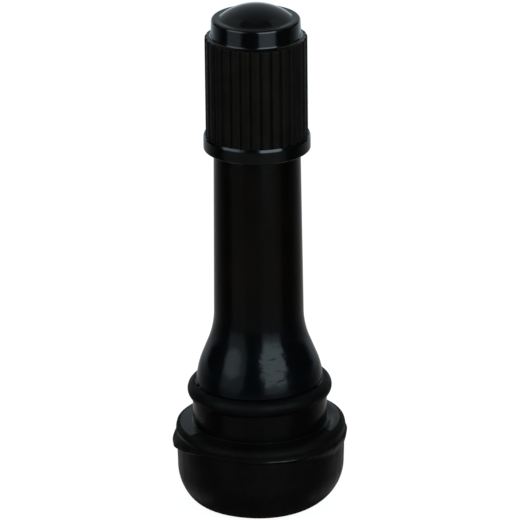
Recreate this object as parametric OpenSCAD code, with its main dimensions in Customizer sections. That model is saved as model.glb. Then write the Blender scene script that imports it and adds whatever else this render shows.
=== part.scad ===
// Snap-in tyre valve: a rubber body moulded onto a threaded brass stem, with a
// screw-in spring valve core and a ribbed plastic cap. Millimetres, +Z up, the
// origin at the middle of the flat face that the base stands on.

/* [Rubber body] */
// Radius of the base at its side
base_r = 8.85; // [8.4:0.05:9.6]
// Height of the base, up to the rim groove
base_height = 9.3; // [8.6:0.1:10.4]
// Rounding of the bottom edge of the base
base_round = 5; // [4:0.1:5.4]
// How far the mould seam stands out of the base
seam_proud = 0.4; // [0.15:0.01:0.5]
// Height of the mould seam's bead
seam_width = 0.7; // [0.4:0.05:0.9]
// Distance of the mould seam below the top of the base
seam_drop = 1.35; // [1.2:0.05:1.6]
// Radius of the rim groove
groove_r = 7.05; // [6.9:0.05:7.2]
// Height of the rim groove, from the base to the holding bump
groove_height = 2.97; // [2.5:0.01:3.6]
// Radius of the holding bump above the groove
bump_r = 7.5; // [7.4:0.05:7.7]
// Rounding of the holding bump
bump_round = 0.9; // [0.8:0.05:1.1]
// Radius of the bulb above the bump
bulb_r = 6.6; // [6.45:0.05:6.75]
// Rounding of the bulb, in height
bulb_round = 9; // [8:0.1:10]
// Lean of the slope from the bulb to the neck, in degrees
slope_lean = 22.2; // [20:0.2:25]
// Height of the middle of the slope above the bump's crease
slope_rise = 3.55; // [3.4:0.05:4.5]
// Rounding of the neck, in height
neck_round = 9.2; // [8:0.1:10]
// Radius of the rubber round the stem, at the neck
neck_r = 4.63; // [4.5:0.01:4.7]
// How much slimmer the rubber is at its upper end
neck_draft = 0.15; // [0.05:0.01:0.25]
// Radius of the air hole through the base
air_hole_r = 2.6; // [2:0.1:2.9]

/* [Brass stem] */
// Height of the stem's mouth above the base's foot
stem_height = 49; // [46:0.5:56]
// Height of the brass tube's lower end above the base's foot
foot_height = 4; // [3.4:0.1:4.4]
// Radius of the anchoring flange at the lower end
flange_r = 4.2; // [3.9:0.1:4.6]
// Thickness of the anchoring flange
flange_thickness = 2; // [1.5:0.1:2.4]
// Radius of the tube inside the rubber
shank_r = 3.2; // [3.1:0.05:3.4]
// Number of anchoring rings on the tube
barb_count = 4; // [2:1:5]
// Radius of the cap thread over its crests
cap_thread_r = 3.85; // [3.8:0.01:3.9]
// Radius of the core thread in the mouth
core_thread_r = 2.65; // [2.6:0.01:2.7]
// Radius of the chamber below the core's seat
chamber_r = 1.98; // [1.95:0.01:2.05]
// Radius of the air passage
passage_r = 1.25; // [1:0.05:1.4]

/* [Valve core] */
// Depth of the plug's tongue below the stem's mouth
plug_depth = 1.6; // [1.2:0.1:2]
// Height of the plug's tongue
tongue_height = 2.6; // [2.4:0.1:3]
// Thickness of the plug's tongue
tongue_thickness = 2.2; // [2:0.1:2.4]
// Length of the plug's thread
plug_thread_length = 4.2; // [3.8:0.1:4.6]
// Radius of the barrel
barrel_r = 1.7; // [1.65:0.01:1.75]
// Length of the barrel below its gasket
barrel_length = 5.8; // [5:0.1:6.4]
// Height of the barrel's gasket
gasket_height = 2.8; // [2.5:0.1:3]
// Radius of the pin
pin_r = 0.45; // [0.4:0.01:0.5]
// Depth of the pin's tip below the stem's mouth
pin_depth = 0.25; // [0.1:0.05:0.5]
// Travel of the pin when it is pressed
pin_travel = 1.3; // [1:0.1:1.5]
// Thickness of the spring's wire
wire_thickness = 0.3; // [0.24:0.01:0.34]
// Turns of the spring
spring_turns = 11; // [8:1:13]
// Radius of the cup at the pin's lower end
cup_r = 1.6; // [1.5:0.05:1.7]
// Height of the cup
cup_height = 1.7; // [1.4:0.1:1.9]

/* [Cap] */
// Radius of the cap over its ribs
cap_r = 5.26; // [5.2:0.02:5.6]
// Radius of the skirt at the cap's foot
skirt_r = 5.42; // [5.36:0.02:5.8]
// Height of the skirt
skirt_height = 1.6; // [1.5:0.1:2]
// Distance of the cap's foot below the stem's mouth
cap_drop = 9.35; // [9.25:0.05:9.6]
// Length of the ribs
rib_length = 10.55; // [10:0.05:11.5]
// Number of ribs
rib_count = 30; // [24:1:36]
// Depth of the grooves between the ribs
rib_depth = 0.35; // [0.2:0.05:0.4]
// Radius of the smooth collar above the ribs, at its foot
collar_r = 4.6; // [4.5:0.01:4.7]
// Height of the collar
collar_height = 2; // [1.6:0.1:2.4]
// Radius of the dome
dome_r = 3.8; // [3.4:0.1:4]
// Height of the dome
dome_rise = 1.35; // [0.8:0.05:1.5]
// Wall of the cap round its hollow top
cap_wall = 1.3; // [1:0.1:1.5]
// Thickness of the cap's sealing washer
cap_seal_thickness = 1.2; // [0.8:0.1:1.4]
// Radius of the hole in the cap's sealing washer
cap_seal_hole_r = 1.6; // [1.2:0.1:2]

/* [Hidden] */
$fn = 96;

// Room between parts
fit_clearance = 0.03;
thread_clearance = 0.1;
skirt_clearance = 0.22;
pin_clearance = 0.15;
spring_clearance = 0.15;
shoulder_clearance = 0.25;
joint_gap = 0.3;
cut_margin = 1;

// Rubber body: heights and rounds of its outline
base_draft = 0.05;
shoulder_step = 0.1;
shoulder_round = 0.6;
shoulder_slope = 0.1;
foot_fillet = 0.3;
crease_depth = 0.05;
rubber_edge = 0.25;
rubber_overlap = 0.95;
shoulder_r = base_r + shoulder_step;
seam_z = base_height - seam_drop;
bump_axis_r = bump_r - bump_round;
bump_foot_angle = acos((groove_r - bump_axis_r) / bump_round);
bump_crease_angle = acos((bulb_r - crease_depth - bump_axis_r) / bump_round);
bump_z = base_height + groove_height + bump_round * sin(bump_foot_angle);
crease_z = bump_z + bump_round * sin(bump_crease_angle);
slope_r = (bulb_r + neck_r) / 2;
slope_z = crease_z + slope_rise;
slope_half = (bulb_r - slope_r) / tan(slope_lean);
bulb_z = slope_z - slope_half - bulb_round * tan(slope_lean / 2);
bulb_start = asin(max(0, crease_z - bulb_z) / bulb_round);
neck_z = slope_z + slope_half + neck_round * tan(slope_lean / 2);
neck_top_r = neck_r - neck_draft;

// Brass stem: heights and edges
thread_edge = 0.4;
mouth_edge = 0.3;
flange_edge = 0.3;
barb_depth = 0.3;
barb_pitch = 2;
relief_step = 0.1;
relief_height = 0.15;
relief_r = shank_r + relief_step;
flange_top_z = foot_height + flange_thickness;

// Valve core: the stack of its parts, from the mouth down
bridge_thickness = 0.8;
collar_gap = 0.4;
pin_collar_thickness = 0.4;
pin_collar_lip = 0.05;
pin_tip_edge = 0.15;
rivet_thickness = 0.4;
rivet_lip = 0.3;
lip_thickness = 0.4;
head_thickness = 1;
shoulder_thickness = 0.7;
plug_edge = 0.25;
tongue_step = 0.45;
head_step = 0.7;
barrel_neck_step = 0.3;
barrel_shoulder_step = 0.15;
gasket_seat_step = 0.15;
spring_r = 0.95;
end_turn_pitch = 1.02 * wire_thickness;
air_gap = 0.45;
rim_width = 0.3;
rim_height = 0.6;
seal_lip = 0.3;
gasket_edge = 0.2;
pin_collar_r = spring_r + pin_collar_lip;
rivet_r = pin_r + rivet_lip;
plug_r = core_thread_r - fit_clearance;
tongue_r = core_thread_r - tongue_step;
head_r = core_thread_r - head_step;
barrel_neck_r = head_r - barrel_neck_step;
barrel_shoulder_r = head_r + barrel_shoulder_step;
gasket_seat_r = barrel_r - gasket_seat_step;
spring_room_r = spring_r + wire_thickness / 2 + spring_clearance;
floor_hole_r = pin_r + air_gap;
rim_r = floor_hole_r + rim_width;
floor_thickness = 3;
cup_wall = 0.3;
cup_floor = 0.4;
chamber_room = 0.8;
seat_height = 1.9;
pin_tip_z = stem_height - pin_depth;
tongue_top_z = stem_height - plug_depth;
bridge_z = tongue_top_z - bridge_thickness;
pin_collar_z = bridge_z - collar_gap - pin_collar_thickness;
plug_thread_z = tongue_top_z - tongue_height;
plug_z = plug_thread_z - plug_thread_length;
head_z = plug_z + lip_thickness;
head_top_z = head_z + head_thickness;
shoulder_top_z = plug_z - joint_gap;
shoulder_z = shoulder_top_z - shoulder_thickness;
gasket_z = shoulder_z - gasket_height;
rim_z = gasket_z - barrel_length;
barrel_floor_z = rim_z + floor_thickness;
cup_z = rim_z - seal_lip - cup_height;
rivet_z = cup_z - rivet_thickness;
chamber_z = rivet_z - pin_travel - chamber_room;
seat_top_z = shoulder_z - fit_clearance;
seat_z = seat_top_z - seat_height;
shoulder_bore_r = barrel_shoulder_r + shoulder_clearance;
seat_lean = (shoulder_bore_r - chamber_r) / seat_height;

// Cap: heights, bores and edges
collar_draft = 0.14;
collar_edge = 0.3;
rib_edge = 0.2;
skirt_edge = 0.15;
skirt_bore_margin = 0.1;
rib_foot = 0.1;
hollow_edge = 0.5;
cap_z = stem_height - cap_drop;
rib_z = cap_z + skirt_height;
rib_top_z = rib_z + rib_length;
collar_top_r = collar_r - collar_draft;
collar_top_z = rib_top_z + collar_height;
dome_round = (dome_r * dome_r + dome_rise * dome_rise) / (2 * dome_rise);
dome_start = acos(dome_r / dome_round);
apex_z = collar_top_z + dome_rise;
hollow_r = collar_top_r - cap_wall;
hollow_top_z = collar_top_z - cap_wall;
cap_seal_top_z = stem_height + cap_seal_thickness;
cap_bore_r = cap_thread_r + thread_clearance;
skirt_bore_r = neck_top_r + skirt_clearance;
skirt_bore_z = rib_z - skirt_bore_margin;
rubber_top_z = cap_z + rubber_overlap;
relief_top_z = rubber_top_z + relief_height;
thread_foot_z = relief_top_z + cap_thread_r - relief_r;
rib_pitch = 360 / rib_count;
rib_turn = 5;
rib_floor_r = cap_r - rib_depth;
groove_half_w = cap_r * sin(rib_pitch / 4);
groove_flare = 0.08;

// Points along an arc about (r, z), from one angle to another
function arc(r, z, round, from, to, steps = 10) =
    [for (i = [0:steps]) let (a = from + (to - from) * i / steps) [r + round * cos(a), z + round * sin(a)]];

// Points along the seam's half oval bead
function bead(r, z, proud, half_width, steps = 8) =
    [for (i = [0:steps]) let (a = -90 + 180 * i / steps) [r + proud * cos(a), z + half_width * sin(a)]];

// A list of points, last one first
function backwards(points) = [for (i = [len(points) - 1:-1:0]) points[i]];

// The brass stem's outside inside the rubber, from its lower end up
function stem_anchor() = concat(
    [[flange_r - flange_edge, foot_height], [flange_r, foot_height + flange_edge],
     [flange_r, flange_top_z - flange_edge], [flange_r - flange_edge, flange_top_z],
     [shank_r, flange_top_z]],
    [for (i = [1:barb_count], step = [0:2])
        let (z = flange_top_z + i * barb_pitch)
        step == 0 ? [shank_r, z]
      : step == 1 ? [shank_r - barb_depth, z]
      : [shank_r, z + barb_pitch / 2]],
    [[shank_r, rubber_top_z]]);

// The rubber's outside, from the air hole's edge round the base and up to its upper end
function rubber_outside() = concat(
    [[air_hole_r, 0]],
    arc(base_r - base_draft - base_round, base_round, base_round, -90, 0, 14),
    bead(base_r, seam_z, seam_proud, seam_width / 2),
    arc(shoulder_r - shoulder_round, base_height - shoulder_slope - shoulder_round, shoulder_round, 0, 85, 6),
    arc(groove_r + foot_fillet, base_height + foot_fillet, foot_fillet, 270, 180, 5),
    arc(bump_axis_r, bump_z, bump_round, -bump_foot_angle, bump_crease_angle, 14),
    arc(bulb_r - bulb_round, bulb_z, bulb_round, bulb_start, slope_lean, 8),
    arc(neck_r + neck_round, neck_z, neck_round, 180 + slope_lean, 180, 8),
    arc(neck_top_r - rubber_edge, rubber_top_z - rubber_edge, rubber_edge, 0, 90, 5));

module rubber_body() {
    color("#1b1b1c")
    rotate_extrude()
    polygon(concat(rubber_outside(), backwards(stem_anchor()), [[air_hole_r, foot_height]]));
}

// The stem's bore, from its lower end up to the mouth
function stem_bore() = [
    [passage_r, foot_height], [passage_r, chamber_z - chamber_r + passage_r],
    [chamber_r, chamber_z], [chamber_r, seat_z],
    [shoulder_bore_r, seat_top_z], [shoulder_bore_r, shoulder_top_z - core_thread_r + shoulder_bore_r],
    [core_thread_r, shoulder_top_z], [core_thread_r, stem_height - mouth_edge],
    [core_thread_r + mouth_edge, stem_height]];

module brass_stem() {
    color("#b8924a")
    rotate_extrude()
    polygon(concat(
        stem_anchor(),
        [[relief_r, rubber_top_z], [relief_r, relief_top_z], [cap_thread_r, thread_foot_z],
         [cap_thread_r, stem_height - thread_edge], [cap_thread_r - thread_edge, stem_height]],
        backwards(stem_bore())));
}

// A round rod along the axis, from one height to another
module rod(r, from, to) {
    translate([0, 0, from]) cylinder(r = r, h = to - from);
}

module core_plug() {
    color("#c2a05a")
    difference() {
        union() {
            rotate_extrude()
            polygon([[0, plug_z], [plug_r - plug_edge, plug_z], [plug_r, plug_z + plug_edge],
                     [plug_r, plug_thread_z - plug_edge], [plug_r - plug_edge, plug_thread_z],
                     [0, plug_thread_z]]);
            intersection() {
                rod(tongue_r, plug_thread_z - plug_edge, tongue_top_z);
                translate([-tongue_r, -tongue_thickness / 2, plug_thread_z - plug_edge])
                cube([2 * tongue_r, tongue_thickness, tongue_height + plug_edge]);
            }
        }
        rod(barrel_neck_r + 2 * fit_clearance, plug_z - cut_margin, head_z);
        rod(head_r + 2 * fit_clearance, head_z, head_top_z);
        rod(spring_room_r, head_top_z, bridge_z);
        rod(pin_r + pin_clearance, bridge_z, tongue_top_z + cut_margin);
    }
}

module core_barrel() {
    color("#caa862")
    rotate_extrude()
    polygon([
        [floor_hole_r, rim_z], [rim_r, rim_z], [barrel_r, rim_z + rim_height], [barrel_r, gasket_z],
        [gasket_seat_r, gasket_z], [gasket_seat_r, shoulder_z], [barrel_shoulder_r, shoulder_z],
        [barrel_shoulder_r, shoulder_top_z], [barrel_neck_r, shoulder_top_z], [barrel_neck_r, head_z],
        [head_r, head_z], [head_r, head_top_z], [spring_room_r, head_top_z],
        [spring_room_r, barrel_floor_z], [floor_hole_r, barrel_floor_z]]);
}

// Radius of the stem's seat cone at a height
function seat_r(z) = chamber_r + (z - seat_z) * seat_lean;

module barrel_gasket() {
    low_z = seat_z + gasket_edge;
    high_z = seat_top_z - gasket_edge;
    color("#2b2b2b")
    rotate_extrude()
    polygon([
        [gasket_seat_r + fit_clearance, gasket_z], [barrel_r, gasket_z],
        [seat_r(low_z) - fit_clearance, low_z], [seat_r(high_z) - fit_clearance, high_z],
        [barrel_shoulder_r, shoulder_z], [gasket_seat_r + fit_clearance, shoulder_z]]);
}

module core_pin() {
    color("#c8b070")
    rotate_extrude()
    polygon([
        [0, rivet_z], [rivet_r - pin_tip_edge, rivet_z], [rivet_r, rivet_z + pin_tip_edge],
        [rivet_r, cup_z], [pin_r, cup_z],
        [pin_r, pin_collar_z], [pin_collar_r, pin_collar_z],
        [pin_collar_r, pin_collar_z + pin_collar_thickness], [pin_r, pin_collar_z + pin_collar_thickness],
        [pin_r, pin_tip_z - pin_tip_edge], [pin_r - pin_tip_edge, pin_tip_z], [0, pin_tip_z]]);
}

// Height of the wire's centre above the spring's foot after some turns: the end turns lie closed
function wire_rise(turn, length) =
    let (free_pitch = (length - wire_thickness - 2 * end_turn_pitch) / (spring_turns - 2))
    wire_thickness / 2
    + (turn < 1 ? turn * end_turn_pitch
     : turn > spring_turns - 1 ? length - wire_thickness - (spring_turns - turn) * end_turn_pitch
     : end_turn_pitch + (turn - 1) * free_pitch);

module core_spring() {
    sides = 8;
    turn_steps = 9;
    length = pin_collar_z - barrel_floor_z;
    rings = spring_turns * turn_steps;
    // Round wire whose circle just holds its full thickness, ground flat at both ends
    wire_r = wire_thickness / 2 / cos(180 / sides);
    points = [
        for (i = [0:rings], k = [0:sides - 1])
            let (a = 360 * i / turn_steps, b = 360 * (k + 0.5) / sides,
                 r = spring_r + wire_r * cos(b),
                 z = wire_rise(i / turn_steps, length) + wire_r * sin(b))
            [r * cos(a), r * sin(a), barrel_floor_z + min(max(z, 0), length)]];
    sleeve = [
        for (i = [0:rings - 1], k = [0:sides - 1])
            let (next = (k + 1) % sides)
            [i * sides + k, i * sides + next, (i + 1) * sides + next, (i + 1) * sides + k]];
    first_end = [for (k = [0:sides - 1]) k];
    last_end = [for (k = [sides - 1:-1:0]) rings * sides + k];
    color("#d8d8d4")
    polyhedron(points, concat(sleeve, [backwards(first_end), backwards(last_end)]));
}

module valve_cup() {
    color("#c2a05a")
    difference() {
        rod(cup_r, cup_z, cup_z + cup_height);
        rod(cup_r - cup_wall, cup_z + cup_floor, cup_z + cup_height + cut_margin);
        rod(pin_r + fit_clearance, cup_z - cut_margin, cup_z + cup_height);
    }
}

module cup_seal() {
    color("#262626")
    difference() {
        rod(cup_r - cup_wall - fit_clearance, cup_z + cup_floor, rim_z);
        rod(pin_r + fit_clearance, cup_z, rim_z + cut_margin);
    }
}

// The cap's outside, from its foot up to the middle of the dome
function cap_outside() = concat(
    [[skirt_bore_r, cap_z], [skirt_r - skirt_edge, cap_z], [skirt_r, cap_z + skirt_edge],
     [skirt_r, rib_z], [cap_r, rib_z], [cap_r, rib_top_z - rib_edge], [cap_r - rib_edge, rib_top_z],
     [collar_r, rib_top_z]],
    arc(collar_top_r - collar_edge, collar_top_z - collar_edge, collar_edge, 0, 90, 6),
    arc(0, apex_z - dome_round, dome_round, dome_start, 90, 10));

// The cap's inside, from the top of the hollow down to its foot
function cap_inside() = [
    [0, hollow_top_z], [hollow_r - hollow_edge, hollow_top_z], [hollow_r, hollow_top_z - hollow_edge],
    [hollow_r, cap_seal_top_z], [cap_bore_r, cap_seal_top_z], [cap_bore_r, skirt_bore_z],
    [skirt_bore_r, skirt_bore_z]];

module valve_cap() {
    color("#151517")
    difference() {
        rotate_extrude() polygon(concat(cap_outside(), cap_inside()));
        for (i = [0:rib_count - 1])
            rotate(rib_turn + (i + 0.5) * rib_pitch)
            translate([0, 0, rib_z + rib_foot])
            linear_extrude(rib_length)
            polygon([[rib_floor_r, -groove_half_w + groove_flare], [skirt_r, -groove_half_w],
                     [skirt_r, groove_half_w], [rib_floor_r, groove_half_w - groove_flare]]);
    }
}

module cap_seal() {
    color("#303030")
    difference() {
        rod(cap_bore_r - 2 * fit_clearance, stem_height, cap_seal_top_z);
        rod(cap_seal_hole_r, stem_height - cut_margin, cap_seal_top_z + cut_margin);
    }
}

rubber_body();
brass_stem();
core_plug();
core_barrel();
barrel_gasket();
core_pin();
core_spring();
valve_cup();
cup_seal();
valve_cap();
cap_seal();
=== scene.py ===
# %% [markdown]
# A snap-in tyre valve: a black rubber body moulded onto a brass tube, with a ribbed plastic cap on top.
# The imported solids come first, as a fixed frame in metres. Everything below is laid over that frame,
# and reads its sizes from the solids' boxes.

import bpy
import numpy as np
from mathutils import Matrix, Vector


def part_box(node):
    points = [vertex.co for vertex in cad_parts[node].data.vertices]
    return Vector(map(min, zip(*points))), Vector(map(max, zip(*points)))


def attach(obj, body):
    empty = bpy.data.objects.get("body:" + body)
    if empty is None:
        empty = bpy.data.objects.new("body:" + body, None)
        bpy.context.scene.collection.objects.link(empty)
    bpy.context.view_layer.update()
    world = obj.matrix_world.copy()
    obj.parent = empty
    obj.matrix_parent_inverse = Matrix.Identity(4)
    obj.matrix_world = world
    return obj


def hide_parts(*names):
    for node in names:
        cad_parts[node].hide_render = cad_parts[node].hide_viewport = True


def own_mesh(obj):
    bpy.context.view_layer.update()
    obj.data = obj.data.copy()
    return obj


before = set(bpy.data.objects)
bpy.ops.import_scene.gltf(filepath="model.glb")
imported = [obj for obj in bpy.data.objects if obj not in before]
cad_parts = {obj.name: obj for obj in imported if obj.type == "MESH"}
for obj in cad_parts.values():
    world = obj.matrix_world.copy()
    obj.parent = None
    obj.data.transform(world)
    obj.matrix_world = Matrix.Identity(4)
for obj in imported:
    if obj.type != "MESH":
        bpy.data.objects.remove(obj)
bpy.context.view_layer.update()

MM = 0.001


def size_of(node):
    """A solid's lowest and highest corner in millimetres."""
    low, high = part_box(node)
    return np.array(low) / MM, np.array(high) / MM


body_high = size_of("rubber_body")[1]
stem_low, stem_high = size_of("brass_stem")
cap_low, cap_high = size_of("valve_cap")

# %% [markdown]
# The photograph looks down on the standing valve at about twenty degrees, from far enough away that
# its sides stay almost parallel. A long lens at 0.6 m gives that. The valve leans a little to the left
# in the picture, so the camera is rolled by a part of a degree and aimed a hair beside the middle.

# %% Camera
camera_distance = 600
camera_elevation = 20.9
camera_roll = 0.61
camera_lens = 398.8
look_at_height = 27
aim_right = 0.177
aim_up = 0.16

lift = np.radians(camera_elevation)
back = Vector((0, -np.cos(lift), np.sin(lift)))
right = Vector((1, 0, 0))
up = back.cross(right)
aim = Vector((0, 0, look_at_height)) + right * aim_right + up * aim_up
camera = bpy.data.objects.new("camera", bpy.data.cameras.new("camera"))
camera.data.lens = camera_lens
camera.data.clip_start = 0.01
camera.data.clip_end = 5
turned = Matrix((right, up, back)).transposed() @ Matrix.Rotation(np.radians(-camera_roll), 3, "Z")
camera.matrix_world = Matrix.Translation((aim + back * camera_distance) * MM) @ turned.to_4x4()
bpy.context.scene.collection.objects.link(camera)
bpy.context.scene.camera = camera
bpy.context.scene.view_settings.view_transform = "Standard"
print("camera at", [round(c, 4) for c in camera.matrix_world.translation])

# %% [markdown]
# Almost every piece of a valve is round, so one idea makes them all: an outline of radius and height
# is carried round the axis. Ribs, threads and the ragged mould seam only change the radius with the
# angle. The outlines are short lists of straight runs and arcs, with more points near each corner,
# where smooth shading needs them.

# %% Outlines
same_point = 1e-4


def arc(r, z, radius, start, end, count):
    """Part of a circle round (r, z): the radius times the cosine and sine of angles given in degrees."""
    turn = np.radians(np.linspace(start, end, count))
    return np.stack([r + radius * np.cos(turn), z + radius * np.sin(turn)], axis=1)


def straight(start, end, count=7):
    """A straight run with more points near its ends: the share along it is half of one minus a cosine."""
    share = (1 - np.cos(np.pi * np.linspace(0, 1, count))) / 2
    return np.asarray(start) + share[:, None] * (np.asarray(end) - np.asarray(start))


def outline(*stretches):
    """Stretches of (r, z) points joined end to end, with a straight run over each gap and no repeats."""
    joined = [np.asarray(stretches[0], float)]
    for stretch in stretches[1:]:
        stretch = np.asarray(stretch, float)
        if np.linalg.norm(stretch[0] - joined[-1][-1]) > same_point:
            joined.append(straight(joined[-1][-1], stretch[0]))
        joined.append(stretch)
    points = np.vstack(joined)
    keep = np.append(True, np.linalg.norm(np.diff(points, axis=0), axis=1) > same_point)
    return points[keep]


def smooth(value, start=0, width=1):
    """A soft step from 0 at a start to 1 a width later: three squares of the share less two cubes."""
    share = np.clip((value - start) / width, 0, 1)
    return share * share * (3 - 2 * share)


print("a quarter of the way along, a soft step is at", smooth(0.25))

# %% Skins
def skin(name, points, ring):
    """
    A mesh over a grid of points in millimetres. Each row of the grid is a closed loop, and one four-sided
    face joins four neighbours. A ring also joins its last row to its first. Otherwise the first and last
    rows close in a fan round their own middles. If the volume comes out negative, the faces are turned.
    """
    rows, columns = points.shape[:2]
    index = np.arange(rows * columns).reshape(rows, columns)
    beside = np.roll(index, -1, axis=1)
    vertices = points.reshape(-1, 3)
    fans = np.zeros((0, 3), int)
    if ring:
        above = np.roll(index, -1, axis=0)
        above_beside = np.roll(beside, -1, axis=0)
    else:
        middles = np.stack([points[0].mean(axis=0), points[-1].mean(axis=0)])
        vertices = np.vstack([vertices, middles])
        first = np.full(columns, rows * columns)
        fans = np.vstack([np.stack([first, beside[0], index[0]], axis=1),
                          np.stack([first + 1, index[-1], beside[-1]], axis=1)])
        above, above_beside = index[1:], beside[1:]
        index, beside = index[:-1], beside[:-1]
    quads = np.stack([index, beside, above_beside, above], axis=-1).reshape(-1, 4)
    triangles = np.vstack([quads[:, [0, 1, 2]], quads[:, [0, 2, 3]], fans])
    corner = vertices[triangles]
    volume = np.einsum("ij,ij->", corner[:, 0], np.cross(corner[:, 1], corner[:, 2])) / 6
    if volume < 0:
        quads, fans = quads[:, ::-1], fans[:, ::-1]
    mesh = bpy.data.meshes.new(name)
    mesh.from_pydata((vertices * MM).tolist(), [], quads.tolist() + fans.tolist())
    mesh.shade_smooth()
    made = bpy.data.objects.new(name, mesh)
    bpy.context.scene.collection.objects.link(made)
    print(name, "has", len(triangles), "triangles and holds", round(abs(volume), 1), "cubic mm")
    return made


def lathe(name, radius, height, angle, ring):
    """A turned surface: x and y are the radius times the angle's cosine and sine, and z is the height."""
    radius, height, angle = np.broadcast_arrays(radius, height, angle)
    return skin(name, np.stack([radius * np.cos(angle), radius * np.sin(angle), height], axis=-1), ring)


def full_turn(count):
    """Evenly spaced angles once round, as one row."""
    return np.linspace(0, 2 * np.pi, count, endpoint=False)[None, :]


print("a turn in four steps is", np.degrees(full_turn(4)).round(), "degrees")

# %% [markdown]
# A finish here is a node tree that reads Object coordinates. A Mapping node turns metres into
# millimetres first, so that every pattern's scale can be read as patches per millimetre. What is the
# same all over a surface, such as its gloss level, is written straight onto the shader.

# %% Nodes
def add(owner, kind, **sockets):
    """A new ShaderNode in its owner's tree, with the named sockets set, where _ stands for a space."""
    node = owner.id_data.nodes.new("ShaderNode" + kind)
    for socket, value in sockets.items():
        node.inputs[socket.replace("_", " ")].default_value = value
    return node


def join(output, socket):
    """A link from one node's output to another's socket, in the tree that both are in."""
    socket.id_data.links.new(output, socket)


def after(output, kind, socket, **sockets):
    """A new node with one socket fed by an output and others set."""
    node = add(output, kind, **sockets)
    join(output, node.inputs[socket])
    return node


def ramp(value, stops):
    """A colour that a value picks from (position, colour) stops, with straight runs between them."""
    picker = after(value, "ValToRGB", "Fac")
    elements = picker.color_ramp.elements
    elements.remove(elements[1])
    for number, (position, colour) in enumerate(stops):
        stop = elements.new(position) if number else elements[0]
        stop.position = position
        stop.color = (*colour, 1)
    return picker.outputs["Color"]


print("node helpers", add.__name__, join.__name__, after.__name__, ramp.__name__)

# %% Finishes
noise_low = 0.3
noise_high = 0.7


def start_finish(name, gloss=0.5, metal=0):
    """A new material with its shader's gloss level and metal set, and coordinates in millimetres."""
    material = bpy.data.materials.new(name)
    material.use_nodes = True
    shader = material.node_tree.nodes["Principled BSDF"]
    shader.inputs["Specular IOR Level"].default_value = gloss
    shader.inputs["Metallic"].default_value = metal
    place = add(shader, "TexCoord")
    scale = after(place.outputs["Object"], "Mapping", "Vector", Scale=(1 / MM, 1 / MM, 1 / MM))
    return material, shader, scale.outputs["Vector"]


def noise(place, scale, detail=3.0, stretch=(1, 1, 1)):
    """Cloudy noise from 0 to 1, with scale patches per millimetre times a stretch along each axis."""
    squeeze = after(place, "Mapping", "Vector", Scale=stretch)
    texture = after(squeeze.outputs["Vector"], "TexNoise", "Vector", Scale=scale, Detail=detail)
    return texture.outputs["Fac"]


def spread(value, low, high):
    """The narrow range of values that noise gives, spread over a range of numbers."""
    spreader = after(value, "MapRange", "Value", From_Min=noise_low, From_Max=noise_high,
                     To_Min=low, To_Max=high)
    return spreader.outputs["Result"]


def blend_colours(value, dark, light):
    """A colour between two, chosen by noise."""
    return ramp(value, ((noise_low, dark), (noise_high, light)))


def coat(shader, colour, pattern, roughness, *layers):
    """
    Wires up a shader: its colour, a roughness that a pattern spreads over a range, and bumps in layers of
    (height from 0 to 1, depth in millimetres), each on top of the last.
    """
    join(colour, shader.inputs["Base Color"])
    join(spread(pattern, *roughness), shader.inputs["Roughness"])
    last = None
    for height, depth in layers:
        bump = after(height, "Bump", "Height", Strength=1.0, Distance=depth * MM)
        if last:
            join(last, bump.inputs["Normal"])
        last = bump.outputs["Normal"]
    join(last, shader.inputs["Normal"])


print("noise between", noise_low, "and", noise_high, "is spread over each finish")

# %% [markdown]
# The body is soft black rubber. Its stem, bulb and groove were cured against polished steel and mirror
# the lamps weakly but clearly. The bump came out matt and the base duller still. All three finishes show
# faint flow marks, slow ripples one or two hundredths of a millimetre deep, and a fine grain. The bulb
# has a painted bluish sheen, a reflection of cool light painted into its colour, and a patch at its front
# is creased. The creases could be modelled, but they are so shallow that bumps in the finish show them as
# well.

# %% Rubber finishes
crease_middle = (1.5, -5.6, 17.4)
crease_core = 0.66
crease_reach = 2.2
# The sheen is a painted reflection: a bluish black mixed into the bulb's colour between these heights,
# standing in for cool light that the bulb mirrors.
sheen_low = 12.5
sheen_high = 25
sheen_black = (0.0012, 0.0016, 0.0021)
sheen_shares = ((0, 0.4), (0.15, 1), (0.45, 1), (1, 0))


def creases(place):
    """A patch of fine creases: flat noise times a spot that fades with the distance from its middle."""
    distance = after(place, "VectorMath", 0)
    distance.operation = "DISTANCE"
    distance.inputs[1].default_value = crease_middle
    spot = after(distance.outputs["Value"], "MapRange", "Value", From_Min=crease_core,
                 From_Max=crease_reach, To_Min=1, To_Max=0)
    patch = after(spot.outputs["Result"], "Math", 0)
    patch.operation = "MULTIPLY"
    folds = noise(place, 0.6, detail=2.5, stretch=(0.6, 0.6, 1.5))
    join(spread(folds, -0.5, 0.5), patch.inputs[1])
    return patch.outputs["Value"]


def with_painted_sheen(place, colour):
    """Paints a bluish sheen, a painted reflection, into a colour on the bulb: a mix towards a bluish black
    by a share that depends on the height.
    """
    parts = after(place, "SeparateXYZ", "Vector")
    rise = after(parts.outputs["Z"], "MapRange", "Value", From_Min=sheen_low, From_Max=sheen_high)
    stops = [(position, (share, share, share)) for position, share in sheen_shares]
    # A colour mix has its two colours in sockets 6 and 7 and its result in output 2.
    mix = add(place, "Mix")
    mix.data_type = "RGBA"
    join(ramp(rise.outputs["Result"], stops), mix.inputs["Factor"])
    join(colour, mix.inputs[6])
    mix.inputs[7].default_value = (*sheen_black, 1)
    return mix.outputs[2]


def rubber_finish(name, gloss, roughness, ripple, dark, light, creased=0):
    """Black rubber: cloudy blacks, a gloss with upright flow marks, ripples, a fine grain and, where
    creases are asked for, creases and a painted bluish sheen.
    """
    material, shader, place = start_finish(name, gloss=gloss)
    colour = blend_colours(noise(place, 0.35), dark, light)
    flow = noise(place, 1.6, stretch=(1, 1, 0.12))
    layers = [(noise(place, 0.9), ripple), (noise(place, 7.0), 0.001)]
    if creased:
        # Painted reflection: a bluish sheen mixed into the colour, mostly on the bulb.
        colour = with_painted_sheen(place, colour)
        layers.append((creases(place), creased))
    coat(shader, colour, flow, roughness, *layers)
    return material


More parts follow.
